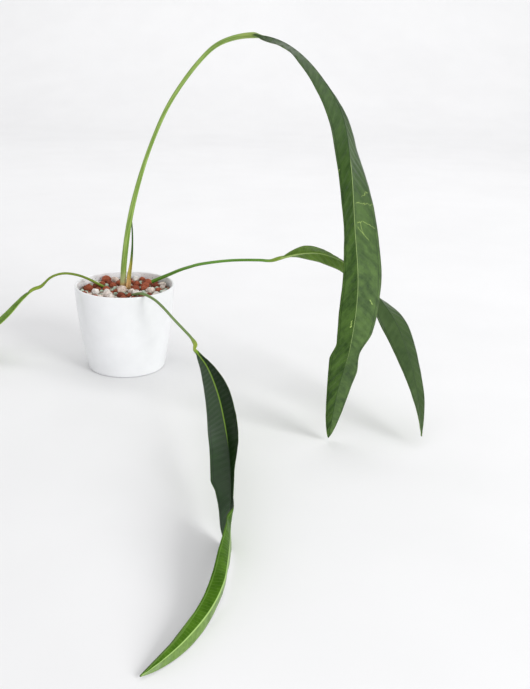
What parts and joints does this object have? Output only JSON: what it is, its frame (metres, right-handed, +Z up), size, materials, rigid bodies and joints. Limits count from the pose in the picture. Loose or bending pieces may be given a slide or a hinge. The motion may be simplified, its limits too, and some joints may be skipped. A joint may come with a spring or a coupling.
{
  "type": "potted strap-leaf anthurium",
  "caption": "Potted strap-leaf anthurium with long arching and trailing leaves in a white tapered pot filled with mineral grains.",
  "frame": {"origin": "centre of the pot's foot on the surface that it stands on", "axes": "+Z up the pot's axis, +X to the plant's right, +Y behind it; the lowest leaf hangs over the rim towards -Y"},
  "size_m": [0.7202, 0.6298, 0.4],
  "materials": {
    "glaze": "satin",
    "mineral_mix": "matte",
    "stem_bark": "matte",
    "sheath": "satin",
    "leaf": "satin"
  },
  "bodies": {
    "root": {"pot": "glaze", "substrate": "mineral_mix", "stem": "stem_bark", "cataphyll": "sheath", "leaf_tall": "leaf", "leaf_right": "leaf", "leaf_front": "leaf", "leaf_left": "leaf"}
  },
  "joints": []
}
